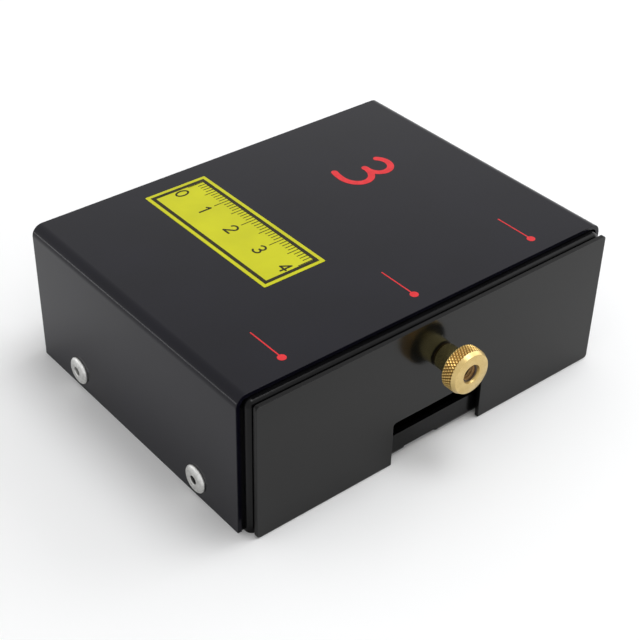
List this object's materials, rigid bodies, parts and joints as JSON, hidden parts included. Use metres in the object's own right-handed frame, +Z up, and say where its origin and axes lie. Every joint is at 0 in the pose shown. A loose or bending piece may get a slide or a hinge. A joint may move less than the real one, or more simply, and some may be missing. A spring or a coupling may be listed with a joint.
{
  "type": "laser ray box",
  "caption": "Low black sheet-metal laser ray box: folded cover, low beam window, notched shutter plate on a brass thumb nut, rear supply sockets.",
  "frame": {"origin": "middle of the housing underside, on the floor it stands on", "axes": "+X to the right along the front, +Y from the shutter front to the rear sockets, +Z up"},
  "size_m": [0.1018, 0.0922, 0.0345],
  "materials": {
    "cover_paint": "satin black stove enamel",
    "panel_paint": "satin black stove enamel",
    "shutter_paint": "semi-gloss black stove enamel",
    "rivet_aluminium": "plain drawn",
    "nut_brass": "turned and knurled",
    "zinc_steel": "bright zinc plated",
    "holder_aluminium": "milled",
    "barrel_anodised": "matt black anodised",
    "ring_brass": "turned",
    "lens_glass": "clear polished",
    "diode_can": "gold plated",
    "board_green": "solder mask",
    "chip_black": "moulded",
    "plug_white": "moulded",
    "terminal_green": "moulded",
    "fuse_yellow": "dipped",
    "capacitor_sleeve": "shrink sleeve",
    "socket_red": "moulded",
    "socket_black": "moulded",
    "nickel_brass": "nickel plated",
    "lead_red": "flexible insulation",
    "lead_black": "flexible insulation"
  },
  "bodies": {
    "housing": {"cover": "cover_paint", "front_panel": "panel_paint", "rear_panel": "panel_paint", "base_tray": "panel_paint", "blind_rivets": "rivet_aluminium", "shutter_stud": "zinc_steel", "spacer_washer": "zinc_steel", "holder_bar": "holder_aluminium", "clamp_screws": "zinc_steel", "bar_screws": "zinc_steel", "driver_board": "board_green", "board_standoffs": "nickel_brass", "board_screws": "zinc_steel", "laser_plugs": "plug_white", "driver_chips": "chip_black", "input_terminal": "terminal_green", "rectifier": "chip_black", "input_fuse": "fuse_yellow", "capacitor": "capacitor_sleeve", "resistors": "chip_black", "socket_body_red": "socket_red", "socket_body_black": "socket_black", "socket_sleeves": "nickel_brass", "socket_ring_nuts": "chip_black", "solder_tags": "nickel_brass", "laser_leads_red": "lead_red", "laser_leads_black": "lead_black", "supply_lead_red": "lead_red", "supply_lead_black": "lead_black", "laser_barrel_left": "barrel_anodised", "line_lens_left": "lens_glass", "lens_ring_left": "ring_brass", "laser_diode_left": "diode_can", "diode_board_left": "board_green", "laser_barrel_centre": "barrel_anodised", "line_lens_centre": "lens_glass", "lens_ring_centre": "ring_brass", "laser_diode_centre": "diode_can", "diode_board_centre": "board_green", "laser_barrel_right": "barrel_anodised", "line_lens_right": "lens_glass", "lens_ring_right": "ring_brass", "laser_diode_right": "diode_can", "diode_board_right": "board_green"},
    "shutter": {"shutter_plate": "shutter_paint"},
    "nut_washer": {"thrust_washer": "ring_brass"},
    "nut": {"thumb_nut": "nut_brass"}
  },
  "joints": [
    {"name": "shutter_turn", "type": "hinge", "parent": "housing", "child": "shutter", "pos_m": [0, -0.0403, 0.0235], "axis": [0, -1, 0], "range_deg": [-180, 180]},
    {"name": "nut_travel", "type": "slide", "parent": "housing", "child": "nut_washer", "axis": [0, -1, 0], "range_m": [0, 0.0021]},
    {"name": "nut_turn", "type": "hinge", "parent": "nut_washer", "child": "nut", "pos_m": [0, -0.045, 0.0235], "axis": [0, -1, 0], "range_deg": [0, 1080]}
  ],
  "couplings": [
    {"joint": "nut_turn", "follows": "nut_travel", "rad_per_m": 8976}
  ]
}
